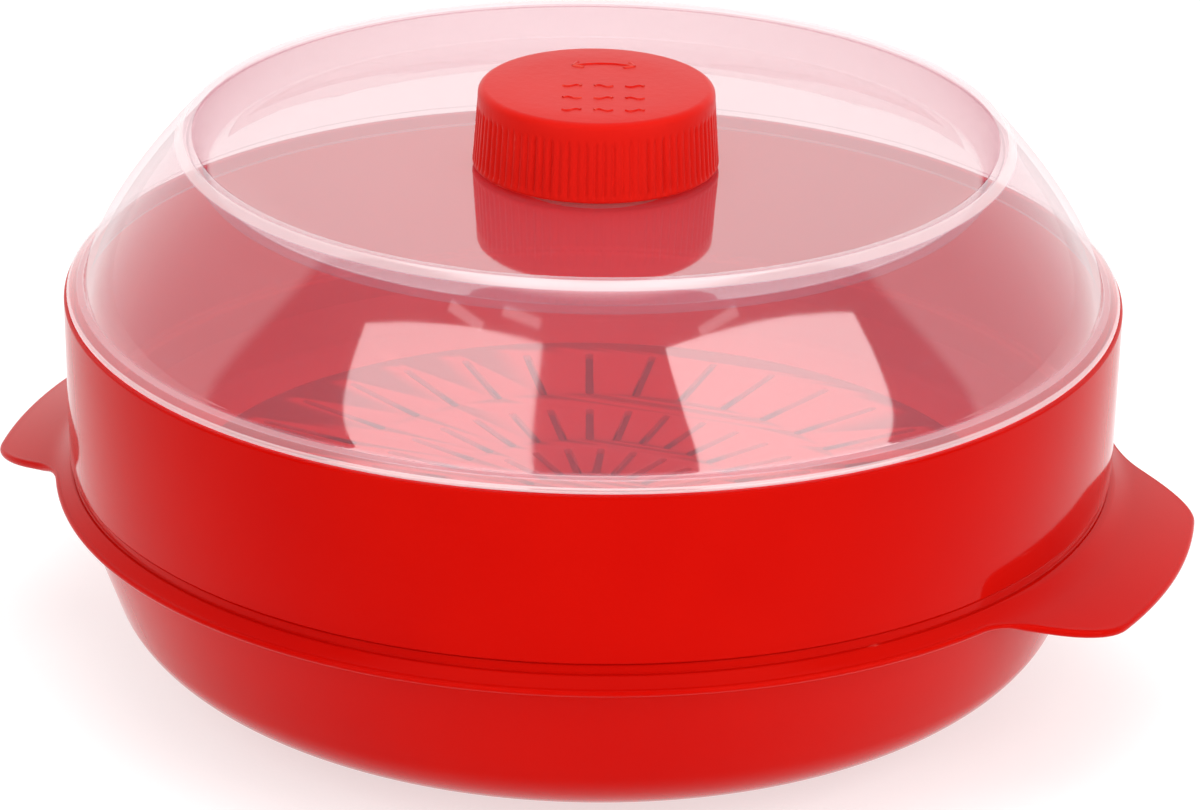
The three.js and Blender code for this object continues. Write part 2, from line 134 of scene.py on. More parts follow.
VENT_TRAVEL = 45.0
MARK_TURN = 19.5
MARK_SHIFT = 1.5
SHUTTER_RADIUS = 18.5
TAB_TURN = MARK_TURN + 90.0 - VENT_TRAVEL / 2
TAB_REACH = 6.0
TAB_WIDTH = 6.0
TAB_END_GAP = 1.0
STOP_WIDTH = 3.0
STOP_GAP = 0.4
STOP_ROOT = 0.2
KNOB_LIFT = 0.8
KNOB_HEIGHT = 18.2
KNOB_DRAFT = 1.3
KNOB_ROUND = 3.0
KNOB_WALL = 2.2
HUB_RADIUS = 9.5
RIB_COUNT = 84
RIB_DEPTH = 0.55
RIB_FOOT = 0.5
RIB_FADE = 1.8
SKIRT_Z = DISC_Z + KNOB_LIFT
CROWN_Z = SKIRT_Z + KNOB_HEIGHT
HUB_Z = WASHER_TOP_Z + SEAT_GAP
GROOVE_DEPTH = 1.4
CLIP_RADIUS = 8.6
CLIP_MOUTH = 7.4
WASHER_RADIUS = 10.5
MARK_HEIGHT = 0.3
MARK_HALF_WIDTH = 0.55
ARROW_RADIUS = 14.5
ARROW_HALF_SPAN = 27.0
ARROW_HEAD = 6.0
ARROW_HEAD_HALF_WIDTH = 1.9
WAVE_ROWS = (-0.7, -8.7, -16.7)
WAVE_PITCH = 7.0
WAVE_LENGTH = 4.0
WAVE_HEIGHT = 0.6

# Steps round the axis, and the angle in degrees past which an edge stays crisp
VESSEL_STEPS = 600
TRAY_STEPS = 360
STEPS_PER_RIB = 10
PLATE_EDGE = 35.0
MOULD_EDGE = 50.0
MARK_EDGE = 60.0

# Looks: gloss, painted light on the red walls' faces that do not face away from the axis (a lighter
# colour and a red emission that stand for light passed on between the walls), and the clear
# plastic's mirror and haze
GLOSS_IOR = 1.18
GLOSS_TINT = (1.0, 0.12, 0.1, 1)
# Painted light: strength and colour of the red emission on faces that do not face away from the
# axis, standing for light passed between the walls
PAINTED_GLOW_STRENGTH = 0.17
PAINTED_GLOW_COLOUR = (1, 0.01, 0.01, 1)
MIRROR_FACING = 0.115
MIRROR_GRAZING = 1.35
MIRROR_LIMIT = 0.5
HAZE_FACING = 0.07
HAZE_GRAZING = 0.03
# Extra haze on the lid's thick bends: partly real milkiness, partly painted highlight lines
BEND_HAZE_AND_PAINTED_HIGHLIGHT = 0.5
HAZE_LIMIT = 0.9
FILM_GLOW = 0.6


# ---------------------------------------------------------------- mesh helpers
TINY = 1e-6
NEARLY_STRAIGHT = math.radians(88)  # a corner with a larger half angle gets no arc
MOST_OF_SIDE = 0.48  # an arc uses up to this share of a side
ARC_STEP = 15.0  # degrees of an arc between two of its points


def point(angle_deg, radius):
    """A place on a circle round the axis."""
    angle = math.radians(angle_deg)
    return radius * math.cos(angle), radius * math.sin(angle)


def smooth_min(a, b, width):
    """The smaller of two lengths, with the change from one to the other rounded over width."""
    h = max(width - abs(a - b), 0.0) / width
    return min(a, b) - h * h * width / 4


def smooth_max(a, b, width):
    """The larger of two lengths, rounded in the same way."""
    return -smooth_min(-a, -b, width)


def smooth_step(low_edge, high_edge, value):
    """0 up to the low edge, 1 from the high edge on, and a soft rise between them."""
    t = min(max((value - low_edge) / (high_edge - low_edge), 0.0), 1.0)
    return t * t * (3 - 2 * t)


def filleted(corners, closed=True):
    """Rounds each (radius, height, fillet) corner of an outline with an arc."""
    outline = []
    count = len(corners)
    for i, (x, y, fillet) in enumerate(corners):
        here = Vector((x, y))
        back = Vector(corners[i - 1][:2]) - here
        ahead = Vector(corners[(i + 1) % count][:2]) - here
        at_end = not closed and i in (0, count - 1)
        plain = fillet <= 0 or at_end or min(back.length, ahead.length) < TINY
        if plain or back.angle(ahead) / 2 > NEARLY_STRAIGHT:
            outline.append(here)
        else:
            outline += corner_arc(here, back, ahead, fillet)
    return outline


def corner_arc(here, back, ahead, fillet):
    """The arc that rounds a corner between its neighbours, which back and ahead point to."""
    half = back.angle(ahead) / 2
    most = MOST_OF_SIDE * min(back.length, ahead.length)
    cut = min(fillet / math.tan(half), most)
    away = (back.normalized() + ahead.normalized()).normalized()
    middle = here + away * (cut * math.tan(half) / math.sin(half))
    arm = here + back.normalized() * cut - middle
    turn = math.pi - 2 * half
    steps = max(3, round(math.degrees(turn) / ARC_STEP))
    sign = 1 if back.x * ahead.y - back.y * ahead.x < 0 else -1
    arc = []
    for k in range(steps + 1):
        a = sign * turn * k / steps
        across = arm.x * math.cos(a) - arm.y * math.sin(a)
        up = arm.x * math.sin(a) + arm.y * math.cos(a)
        arc.append(middle + Vector((across, up)))
    return arc


def bezier(p0, p1, p2, p3, steps):
    """Points along a cubic Bezier curve, ends included."""
    points = []
    for k in range(steps + 1):
        t = k / steps
        u = 1 - t
        points.append(
            Vector(p0) * u**3
            + Vector(p1) * 3 * u * u * t
            + Vector(p2) * 3 * u * t * t
            + Vector(p3) * t**3
        )
    return points


def offset(points, distance):
    """Moves an open outline sideways, to its left."""
    moved = []
    for i, p in enumerate(points):
        along = (points[min(i + 1, len(points) - 1)] - points[max(i - 1, 0)]).normalized()
        moved.append(p + Vector((-along.y, along.x)) * distance)
    return moved


def new_object(name, verts, faces, smooth_angle=PLATE_EDGE):
    """A mesh object, in metres, smooth apart from edges sharper than smooth_angle."""
    mesh = bpy.data.meshes.new(name)
    mesh.from_pydata([tuple(c * MM for c in v) for v in verts], [], faces)
    mesh.validate()
    obj = bpy.data.objects.new(name, mesh)
    bpy.context.collection.objects.link(obj)
    finish_mesh(obj, smooth_angle)
    return obj


def finish_mesh(obj, smooth_angle):
    """Merges doubled points, turns the faces outwards and shades them smooth."""
    bpy.context.view_layer.objects.active = obj
    for other in bpy.context.selected_objects:
        other.select_set(False)
    obj.select_set(True)
    bpy.ops.object.mode_set(mode="EDIT")
    bpy.ops.mesh.select_all(action="SELECT")
    bpy.ops.mesh.remove_doubles(threshold=TINY)
    bpy.ops.mesh.normals_make_consistent(inside=False)
    bpy.ops.object.mode_set(mode="OBJECT")
    bpy.ops.object.shade_smooth_by_angle(angle=math.radians(smooth_angle))
    obj.select_set(False)


def revolve(
    name, outline, segments, closed=True, reshape=None, window=None, smooth_angle=MOULD_EDGE
):
    """Turns an outline of (radius, height) round Z.

    reshape(angle, place, radius, height) may move a point, to model ribs, flats or ears, where
    place is the point's number in the outline.
    window(angle, radius) is true where the wall is cut through, between two surfaces.
    """
    rows = []
    verts = []
    for place, p in enumerate(outline):
        if p.x < TINY:
            rows.append([len(verts)] * segments)
            verts.append((0.0, 0.0, p.y))
            continue
        row = []
        for k in range(segments):
            angle = 360.0 * k / segments
            radius, height = p.x, p.y
            if reshape:
                radius, height = reshape(angle, place, radius, height)
            row.append(len(verts))
            verts.append((*point(angle, radius), height))
        rows.append(row)
    faces = []
    cut_edges = {}
    last = len(rows) if closed else len(rows) - 1
    for i in range(last):
        a, b = rows[i], rows[(i + 1) % len(rows)]
        middle = (outline[i].x + outline[(i + 1) % len(rows)].x) / 2
        for k in range(segments):
            n = (k + 1) % segments
            quad = [a[k], a[n], b[n], b[k]]
            if window and window(360.0 * (k + 0.5) / segments, middle):
                for u, v in zip(quad, quad[1:] + quad[:1]):
                    key = (min(u, v), max(u, v))
                    cut_edges[key] = cut_edges.get(key, 0) + 1
                continue
            faces.append([v for j, v in enumerate(quad) if v not in quad[:j]])
    border = [edge for edge, count in cut_edges.items() if count == 1]
    if border:
        faces.extend(window_walls(verts, border))
    return new_object(name, verts, faces, smooth_angle)


def window_walls(verts, border):
    """Walls that join the border of a window in one surface to the same one in the other."""
    by_place = {}
    for u, v in border:
        ends = sorted(((round(verts[w][0], 3), round(verts[w][1], 3)), w) for w in (u, v))
        by_place.setdefault((ends[0][0], ends[1][0]), []).append((ends[0][1], ends[1][1]))
    return [[a[0], a[1], b[1], b[0]] for a, b in (p for p in by_place.values() if len(p) == 2)]


def cut_plate(name, outlines, z_low, z_high, edge, smooth_angle=PLATE_EDGE):
    """A flat plate with holes: closed 2D outlines, filled, thickened, with rounded edges."""
    curve = bpy.data.curves.new(name, "CURVE")
    curve.dimensions = "2D"
    curve.fill_mode = "BOTH"
    curve.extrude = ((z_high - z_low) / 2 - edge) * MM
    curve.bevel_depth = edge * MM
    curve.bevel_resolution = 2
    curve.offset = -edge * MM
    for outline in outlines:
        spline = curve.splines.new("POLY")
        spline.points.add(len(outline) - 1)
        for target, (x, y) in zip(spline.points, outline):
            target.co = (x * MM, y * MM, 0, 1)
        spline.use_cyclic_u = True
    return mesh_from_curve(name, curve, (z_high + z_low) / 2, smooth_angle)


def mesh_from_curve(name, curve, height, smooth_angle):
    """A mesh object from a curve laid flat at a height."""
    holder = bpy.data.objects.new(name + "_curve", curve)
    bpy.context.collection.objects.link(holder)
    holder.location.z = height * MM
    bpy.context.view_layer.update()
    graph = bpy.context.evaluated_depsgraph_get()
    mesh = bpy.data.meshes.new_from_object(holder.evaluated_get(graph))
    mesh.transform(holder.matrix_world)
    mesh.materials.clear()
    obj = bpy.data.objects.new(name, mesh)
    bpy.context.collection.objects.link(obj)
    bpy.data.objects.remove(holder)
    finish_mesh(obj, smooth_angle)
    return obj


def circle(radius, steps):
    """Points round a circle."""
    return [point(360.0 * k / steps, radius) for k in range(steps)]


def ring_slice(inner, outer, centre, half_span, steps=16):
    """A slice of a flat ring, centred on an angle in degrees."""
    angles = [centre - half_span + 2 * half_span * k / steps for k in range(steps + 1)]
    return [point(a, outer) for a in angles] + [point(a, inner) for a in reversed(angles)]


def turned(points, angle_deg):
    """Points turned round the axis."""
    c, s = math.cos(math.radians(angle_deg)), math.sin(math.radians(angle_deg))
    return [(x * c - y * s, x * s + y * c) for x, y in points]


def join(name, objects):
    """Joins objects into the first one and renames it."""
    for other in bpy.context.selected_objects:
        other.select_set(False)
    for obj in objects:
        obj.select_set(True)
    bpy.context.view_layer.objects.active = objects[0]
    bpy.ops.object.join()
    objects[0].name = name
    objects[0].select_set(False)
    return objects[0]


# ---------------------------------------------------------------- material helpers
class Nodes:
    """A short way to write a material's node tree."""

    def __init__(self, name):
        self.material = bpy.data.materials.new(name)
        self.material.use_nodes = True
        self.tree = self.material.node_tree
        self.tree.nodes.clear()
        self.output = self.tree.nodes.new("ShaderNodeOutputMaterial")
        coordinates = self.tree.nodes.new("ShaderNodeTexCoord")
        self.place = coordinates.outputs["Object"]
        self.normal = coordinates.outputs["Normal"]

    def add(self, kind, **values):
        """A node with its settings, by attribute or by input name."""
        node = self.tree.nodes.new(kind)
        for key, value in values.items():
            if hasattr(node, key):
                setattr(node, key, value)
            else:
                self.put(node.inputs[key.replace("_", " ")], value)
        return node

    def put(self, socket, value):
        """Links a socket to another, or sets its value."""
        if isinstance(value, bpy.types.NodeSocket):
            self.tree.links.new(value, socket)
        else:
            socket.default_value = value

    def noise(self, scale, detail=2.0, roughness=0.5, stretch=None):
        """Noise in object space; scale is per metre."""
        vector = self.place
        if stretch:
            mapping = self.add("ShaderNodeMapping")
            mapping.inputs["Scale"].default_value = stretch
            self.put(mapping.inputs["Vector"], self.place)
            vector = mapping.outputs["Vector"]
        node = self.add("ShaderNodeTexNoise")
        node.inputs["Scale"].default_value = scale
        node.inputs["Detail"].default_value = detail
        node.inputs["Roughness"].default_value = roughness
        self.put(node.inputs["Vector"], vector)
        return node.outputs["Fac"]

    def ramp(self, value, low_in, high_in, low_out, high_out):
        """Maps one range of values on another, and holds the ends."""
        node = self.add("ShaderNodeMapRange")
        node.inputs["From Min"].default_value = low_in
        node.inputs["From Max"].default_value = high_in
        node.inputs["To Min"].default_value = low_out
        node.inputs["To Max"].default_value = high_out
        self.put(node.inputs["Value"], value)
        return node.outputs["Result"]

    def math(self, operation, a, b=0.0):
        """One step of arithmetic on two values."""
        node = self.tree.nodes.new("ShaderNodeMath")
        node.operation = operation
        self.put(node.inputs[0], a)
        self.put(node.inputs[1], b)
        return node.outputs[0]

    def vector(self, operation, a, b=None):
        """One step of vector arithmetic; a length or a dot product comes out as a value."""
        node = self.tree.nodes.new("ShaderNodeVectorMath")
        node.operation = operation
        self.put(node.inputs[0], a)
        if b is not None:
            self.put(node.inputs[1], b)
        return node.outputs["Value" if operation in ("LENGTH", "DOT_PRODUCT") else "Vector"]

    def radius(self):
        """Distance from the object's upright axis, in metres."""
        return self.vector("LENGTH", self.vector("MULTIPLY", self.place, (1, 1, 0)))

    def outward(self):
        """How much the surface faces away from the object's upright axis, -1 to 1."""
        flat = self.vector("NORMALIZE", self.vector("MULTIPLY", self.place, (1, 1, 0)))
        return self.vector("DOT_PRODUCT", self.normal, flat)

    def band(self, radius, low_mm, high_mm, soft_mm=0.4):
        """1 between two radii, fading out over soft_mm."""
        rise = self.ramp(radius, (low_mm - soft_mm) * MM, low_mm * MM, 0.0, 1.0)
        fall = self.ramp(radius, high_mm * MM, (high_mm + soft_mm) * MM, 1.0, 0.0)
        return self.math("MULTIPLY", rise, fall)

    def mix_colour(self, factor, first, second):
        """The first colour at factor 0, the second at 1."""
        node = self.tree.nodes.new("ShaderNodeMix")
        node.data_type = "RGBA"
        self.put(node.inputs["Factor"], factor)
        self.put(node.inputs["A"], first)
        self.put(node.inputs["B"], second)
        return node.outputs["Result"]

    def bump(self, height, distance, strength, normal=None):
        """A bumpy normal from a height, laid over another normal if one is given."""
        node = self.add("ShaderNodeBump")
        node.inputs["Distance"].default_value = distance
        node.inputs["Strength"].default_value = strength
        self.put(node.inputs["Height"], height)
        if normal is not None:
            self.put(node.inputs["Normal"], normal)
        return node.outputs["Normal"]

    def worn_edges(self):
        """1 on convex edges, broken up by noise, 0 elsewhere."""
        geometry = self.add("ShaderNodeNewGeometry")
        edge = self.ramp(geometry.outputs["Pointiness"], 0.53, 0.6, 0.0, 1.0)
        broken = self.ramp(self.noise(260.0, 4.0, 0.6), 0.42, 0.6, 0.0, 1.0)
        return self.math("MULTIPLY", edge, broken)

    def scratches(self, scale, stretch, low_in, high_in):
        """Thin stretched marks, 1 where scratched."""
        return self.ramp(self.noise(scale, 3.0, 0.7, stretch), low_in, high_in, 0.0, 1.0)

    def surface(self, shader):
        """Ends the tree with its shader and gives the material."""
        self.put(self.output.inputs["Surface"], shader)
        return self.material


def gloss_plastic(name, deep, bright, worn, roughness, texture_depth, inside=None):
    """Moulded glossy plastic: slightly uneven colour, faint orange peel, scuffs, worn edges.

    Given an inside colour, faces that do not face away from the axis get painted light: that
    lighter base colour and a red emission, standing for the light the walls pass on to each other
    inside a vessel.
    """
    n = Nodes(name)
    tone = n.ramp(n.noise(14.0, 3.0, 0.55), 0.35, 0.65, 0.0, 1.0)
    colour = n.mix_colour(tone, deep, bright)
    # Painted light: a lighter base colour on faces that do not face away from the axis
    if inside:
        inside_painted_light_mask = n.ramp(n.outward(), 0.0, 0.06, 1.0, 0.0)
        colour = n.mix_colour(inside_painted_light_mask, colour, inside)
    wear = n.math("MULTIPLY", n.worn_edges(), 0.35)
    colour = n.mix_colour(wear, colour, worn)
    scuffs = n.scratches(60.0, (1.0, 1.0, 14.0), 0.66, 0.72)
    hand_marks = n.ramp(n.noise(22.0, 4.0, 0.6), 0.5, 0.72, 0.0, 0.07)
    rough = n.math("ADD", hand_marks, n.math("MULTIPLY", scuffs, 0.1))
    rough = n.math("ADD", n.math("ADD", rough, n.math("MULTIPLY", wear, 0.5)), roughness)
    peel = n.bump(n.noise(420.0, 2.0, 0.5), 0.0004, texture_depth)
    fine = n.bump(n.math("MULTIPLY", scuffs, -1.0), 0.00003, 0.25, peel)
    shader = n.add("ShaderNodeBsdfPrincipled")
    n.put(shader.inputs["Base Color"], colour)
    n.put(shader.inputs["Roughness"], rough)
    n.put(shader.inputs["Normal"], fine)
    shader.inputs["IOR"].default_value = GLOSS_IOR
    shader.inputs["Specular Tint"].default_value = GLOSS_TINT
    # Painted light: the same faces give off red light, though they are no lamp
    if inside:
        painted_glow = n.mix_colour(inside_painted_light_mask, (0, 0, 0, 1), PAINTED_GLOW_COLOUR)
        n.put(shader.inputs["Emission Color"], painted_glow)
        shader.inputs["Emission Strength"].default_value = PAINTED_GLOW_STRENGTH
    return n.surface(shader.outputs["BSDF"])


def angle_rise(n, tilt, power, grazing, facing):
    """A strength that starts from its facing value and rises with the tilt of the surface."""
    return n.math("ADD", n.math("MULTIPLY", n.math("POWER", tilt, power), grazing), facing)


def painted_bright_bends(n, outward, front_side):
    """1 on the clear lid's rim and ridge, less on its step: thick bends whose extra haze is partly
    real milkiness of thick plastic and partly painted highlight lines.
    """
    radius = n.radius()
    slope = n.ramp(outward, 0.05, 0.3, 0.0, 1.0)
    ridge = n.band(radius, RIDGE_RADIUS + 0.9, RIDGE_RADIUS + 2.7, 0.3)
    ridge = n.math("MULTIPLY", ridge, slope)
    foot = LID_FLANGE - LID_FLANGE_WIDTH
    rim = n.band(radius, LID_FLANGE - 0.5, LID_FLANGE + 1.0, 0.2)
    step = n.math("MULTIPLY", n.band(radius, foot - LID_STEP, foot + 0.2, 0.2), 0.5)
    bends = n.math("MULTIPLY", n.math("ADD", n.math("ADD", ridge, rim), step), front_side)
    return n.math("MINIMUM", bends, 1.0)


def clear_plastic(name):
    """Thin clear moulding with a milky haze: its outer skin mirrors, more so at a grazing angle."""
    n = Nodes(name)
    weight = n.add("ShaderNodeLayerWeight")
    weight.inputs["Blend"].default_value = 0.5
    tilt = weight.outputs["Facing"]
    geometry = n.add("ShaderNodeNewGeometry")
    split = n.add("ShaderNodeSeparateXYZ")
    n.put(split.inputs["Vector"], n.normal)
    front_side = n.math("SUBTRACT", 1.0, geometry.outputs["Backfacing"])
    skin = n.math("MULTIPLY", n.ramp(split.outputs["Z"], -0.02, 0.02, 0.0, 1.0), front_side)
    outward = n.outward()
    skin = n.math("MULTIPLY", skin, n.ramp(outward, -0.5, -0.2, 0.0, 1.0))
    mirror = angle_rise(n, tilt, 5.0, MIRROR_GRAZING, MIRROR_FACING)
    mirror = n.math("MULTIPLY", n.math("MINIMUM", mirror, MIRROR_LIMIT), skin)
    haze = angle_rise(n, tilt, 3.0, HAZE_GRAZING, HAZE_FACING)
    clouds = n.ramp(n.noise(18.0, 3.0, 0.5), 0.3, 0.7, 0.9, 1.1)
    scuffs = n.scratches(70.0, (1.0, 1.0, 10.0), 0.67, 0.73)
    haze = n.math("ADD", n.math("MULTIPLY", haze, clouds), n.math("MULTIPLY", scuffs, 0.04))
    # Painted highlight, partly real: the rim, ridge and step get more haze, and their milk colour
    # turns near white, drawing bright lines
    bright = painted_bright_bends(n, outward, front_side)
    haze = n.math("ADD", haze, n.math("MULTIPLY", bright, BEND_HAZE_AND_PAINTED_HIGHLIGHT))
    haze = n.math("MINIMUM", haze, HAZE_LIMIT)
    milk = n.mix_colour(clouds, (0.95, 0.72, 0.9, 1), (0.98, 0.76, 0.94, 1))
    # Painted highlight: near-white milk colour on the bends
    milk = n.mix_colour(bright, milk, (1.0, 0.92, 0.93, 1))
    front = n.add("ShaderNodeBsdfDiffuse")
    n.put(front.inputs["Color"], milk)
    back = n.add("ShaderNodeBsdfTranslucent")
    n.put(back.inputs["Color"], milk)
    cloud = n.add("ShaderNodeMixShader")
    cloud.inputs["Fac"].default_value = 0.5
    n.put(cloud.inputs[1], front.outputs["BSDF"])
    n.put(cloud.inputs[2], back.outputs["BSDF"])
    through = n.add("ShaderNodeBsdfTransparent")
    depth = n.math("POWER", tilt, 4.0)
    tint = n.mix_colour(depth, (0.955, 0.9, 0.9, 1), (0.78, 0.62, 0.63, 1))
    n.put(through.inputs["Color"], tint)
    body = n.add("ShaderNodeMixShader")
    n.put(body.inputs["Fac"], haze)
    n.put(body.inputs[1], through.outputs["BSDF"])
    n.put(body.inputs[2], cloud.outputs["Shader"])
    gloss = n.add("ShaderNodeBsdfGlossy")
    gloss.inputs["Color"].default_value = (1, 1, 1, 1)
    n.put(gloss.inputs["Roughness"], n.ramp(n.noise(30.0, 3.0, 0.5), 0.3, 0.7, 0.03, 0.07))
    n.put(gloss.inputs["Normal"], n.bump(n.noise(60.0, 1.0, 0.4), 0.0006, 0.05))
    whole = n.add("ShaderNodeMixShader")
    n.put(whole.inputs["Fac"], mirror)
    n.put(whole.inputs[1], body.outputs["Shader"])
    n.put(whole.inputs[2], gloss.outputs["BSDF"])
    return n.surface(whole.outputs["Shader"])


def satin_plastic(name, colour, shade, roughness, subsurface, alpha):
    """Natural plastic or silicone: satin, slightly see-through, with a fine moulded grain."""
    n = Nodes(name)
    tone = n.ramp(n.noise(90.0, 3.0, 0.5), 0.35, 0.65, 0.0, 1.0)
    wear = n.math("MULTIPLY", n.worn_edges(), 0.3)
    base = n.mix_colour(wear, n.mix_colour(tone, colour, shade), (0.95, 0.94, 0.92, 1))
    shader = n.add("ShaderNodeBsdfPrincipled")
    n.put(shader.inputs["Base Color"], base)
    n.put(shader.inputs["Roughness"], n.ramp(n.noise(150.0), 0.3, 0.7, roughness, roughness + 0.12))
    n.put(shader.inputs["Normal"], n.bump(n.noise(900.0, 3.0, 0.6), 0.0002, 0.2))
    shader.inputs["Subsurface Weight"].default_value = subsurface
    shader.inputs["Subsurface Radius"].default_value = (3 * MM, 3 * MM, 3 * MM)
    shader.inputs["Alpha"].default_value = alpha
    return n.surface(shader.outputs["BSDF"])


def floor_paper(name):
    """Matte white studio film with a very faint fibre, lit from below so shadows stay pale."""
    n = Nodes(name)
    tone = n.ramp(n.noise(3.0, 4.0, 0.6), 0.3, 0.7, 0.0, 1.0)
    shader = n.add("ShaderNodeBsdfPrincipled")
    grey = n.mix_colour(tone, (0.44, 0.44, 0.44, 1), (0.47, 0.47, 0.47, 1))
    n.put(shader.inputs["Base Color"], grey)
    shader.inputs["Emission Color"].default_value = (1, 1, 1, 1)
    shader.inputs["Emission Strength"].default_value = FILM_GLOW
    n.put(shader.inputs["Roughness"], n.ramp(n.noise(40.0), 0.3, 0.7, 0.75, 0.9))
    n.put(shader.inputs["Normal"], n.bump(n.noise(700.0, 2.0, 0.5), 0.0003, 0.1))
    return n.surface(shader.outputs["BSDF"])


# ---------------------------------------------------------------- base bowl
def bowl_side(z):
    """The bowl's outer side above its curl."""
    return COLLAR + BOWL_WALL - max(0.0, LIP_Z - COLLAR_DEPTH - z) * math.tan(SIDE_DRAFT)


def ear_reach(angle_deg):
    """How far the rim reaches at an angle: the flange's edge, or the ear's."""
    away = math.radians(abs((angle_deg + 90.0) % 180.0 - 90.0))
    root_radius = COLLAR + BOWL_WALL / 2
    root_half = EAR_HALF_WIDTH + EAR_SPREAD
    corner = Vector((math.sqrt(EAR_TIP**2 - EAR_HALF_WIDTH**2), EAR_HALF_WIDTH))
    root = Vector((math.sqrt(root_radius**2 - root_half**2), root_half))
    along = (root - corner).normalized()
    normal = Vector((along.y, -along.x))
    heading = Vector((math.cos(away), math.sin(away)))
    slant = normal.dot(heading)
    flank = normal.dot(corner) / slant if slant > 1e-3 else 10 * EAR_TIP
    edge = smooth_min(EAR_TIP, flank, EAR_TIP_ROUND)
    return smooth_max(FLANGE, edge, EAR_ROOT_ROUND)


def rim_top(radius):
    """Height of the flange's upper face, and of the ear's beyond it."""
    start_z = LIP_Z - FLANGE_DROP
    flange = start_z - (radius - FLANGE_START) * FLANGE_FALL / (FLANGE - FLANGE_START)
    ear = start_z - FLANGE_FALL - (radius - FLANGE) * EAR_SLOPE
    return smooth_max(flange, ear, RIM_BEND)


def rim_under(radius, ear_share):
    """Height of the flange's lower face, which follows the upper one where there is an ear."""
    plain = LIP_Z - COLLAR_DEPTH - (radius - COLLAR - BOWL_WALL) * FLANGE_UNDER_FALL
    return plain + (rim_top(radius) - EAR_THICKNESS - plain) * ear_share


def rim_section(angle_deg, under_steps=14, tip_steps=8):
    """The rim's outline at one angle, from under the flange round its edge to the lip."""
    tip = ear_reach(angle_deg)
    ear_share = smooth_step(0.0, EAR_BLEND, tip - FLANGE)
    start = COLLAR + BOWL_WALL
    half = (rim_top(tip - RIM_EDGE) - rim_under(tip - RIM_EDGE, ear_share)) / 2
    end = tip - half
    section = []
    for k in range(under_steps + 1):
        radius = start + (end - start) * k / under_steps
        section.append((radius, rim_under(radius, ear_share)))
    top, under = rim_top(end), rim_under(end, ear_share)
    for k in range(1, tip_steps):
        a = math.pi * k / tip_steps - math.pi / 2
        height = (top + under) / 2 + math.sin(a) * (top - under) / 2
        section.append((end + half * math.cos(a), height))
    for k in range(under_steps + 1):
        radius = end + (FLANGE_START - end) * k / under_steps
        section.append((radius, rim_top(radius)))
    return section


def bowl_foot():
    """The bowl's underside, from the axis over the foot ring."""
    return filleted(
        [
            (0, FOOT_HEIGHT, 0),
            (FOOT_RADIUS - FOOT_WIDTH - 12, FOOT_HEIGHT, 0),
            (FOOT_RADIUS - FOOT_WIDTH, FOOT_HEIGHT, 0.6),
            (FOOT_RADIUS - FOOT_WIDTH, 0, 0.5),
            (FOOT_RADIUS, 0, 0.5),
            (FOOT_RADIUS, FOOT_HEIGHT, 0.4),
            (FOOT_RADIUS + 0.6, FOOT_HEIGHT, 0),
        ],
        closed=False,
    )


def make_bowl(material):
    """The bowl: foot, side, a rim whose outline widens to two ears, lip and inside."""
    turn_radius = bowl_side(SIDE_TURN_Z)
    rim_start = LIP_Z - COLLAR_DEPTH
    curl = bezier(
        (turn_radius, SIDE_TURN_Z),
        (turn_radius - 0.5 * SIDE_TURN_Z * math.tan(SIDE_DRAFT), 0.5 * SIDE_TURN_Z),
        ((turn_radius + FOOT_RADIUS) / 2 + BOWL_WALL, FOOT_HEIGHT),
        (FOOT_RADIUS + 0.6, FOOT_HEIGHT),
        26,
    )
    side = [Vector((bowl_side(z), z)) for z in (rim_start - 1.2, 38.0, 32.0, 26.0)]
    before = bowl_foot() + list(reversed(side + curl))[1:]
    inside = offset(side + curl, -BOWL_WALL)
    lip_outer = COLLAR + BOWL_WALL - 0.4
    after = filleted(
        [
            (FLANGE_START, LIP_Z - FLANGE_DROP, 0),
            (lip_outer, LIP_Z - FLANGE_DROP, 0.35),
            (lip_outer, LIP_Z, 0.45),
            (COLLAR, LIP_Z, 0.45),
            (inside[0].x, inside[0].y, 0.0),
        ],
        closed=False,
    )[1:-1] + inside
    after += [Vector((r, FOOT_HEIGHT + BOWL_WALL)) for r in (FOOT_RADIUS, 30, 0)]
    sections = [rim_section(360.0 * k / VESSEL_STEPS) for k in range(VESSEL_STEPS)]
    rim = range(len(before), len(before) + len(sections[0]))

    def reshape(angle, place, radius, height):
        """Puts the rim's part of the outline on its section at that angle."""
        if place in rim:
            return sections[round(angle * VESSEL_STEPS / 360.0)][place - rim.start]
        return radius, height

    outline = before + [Vector((FLANGE, LIP_Z))] * len(rim) + after
    bowl = revolve("bowl_shell", outline, VESSEL_STEPS, closed=False, reshape=reshape)
    bowl.data.materials.append(material)
    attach(bowl, "base")
    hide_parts("base_bowl")


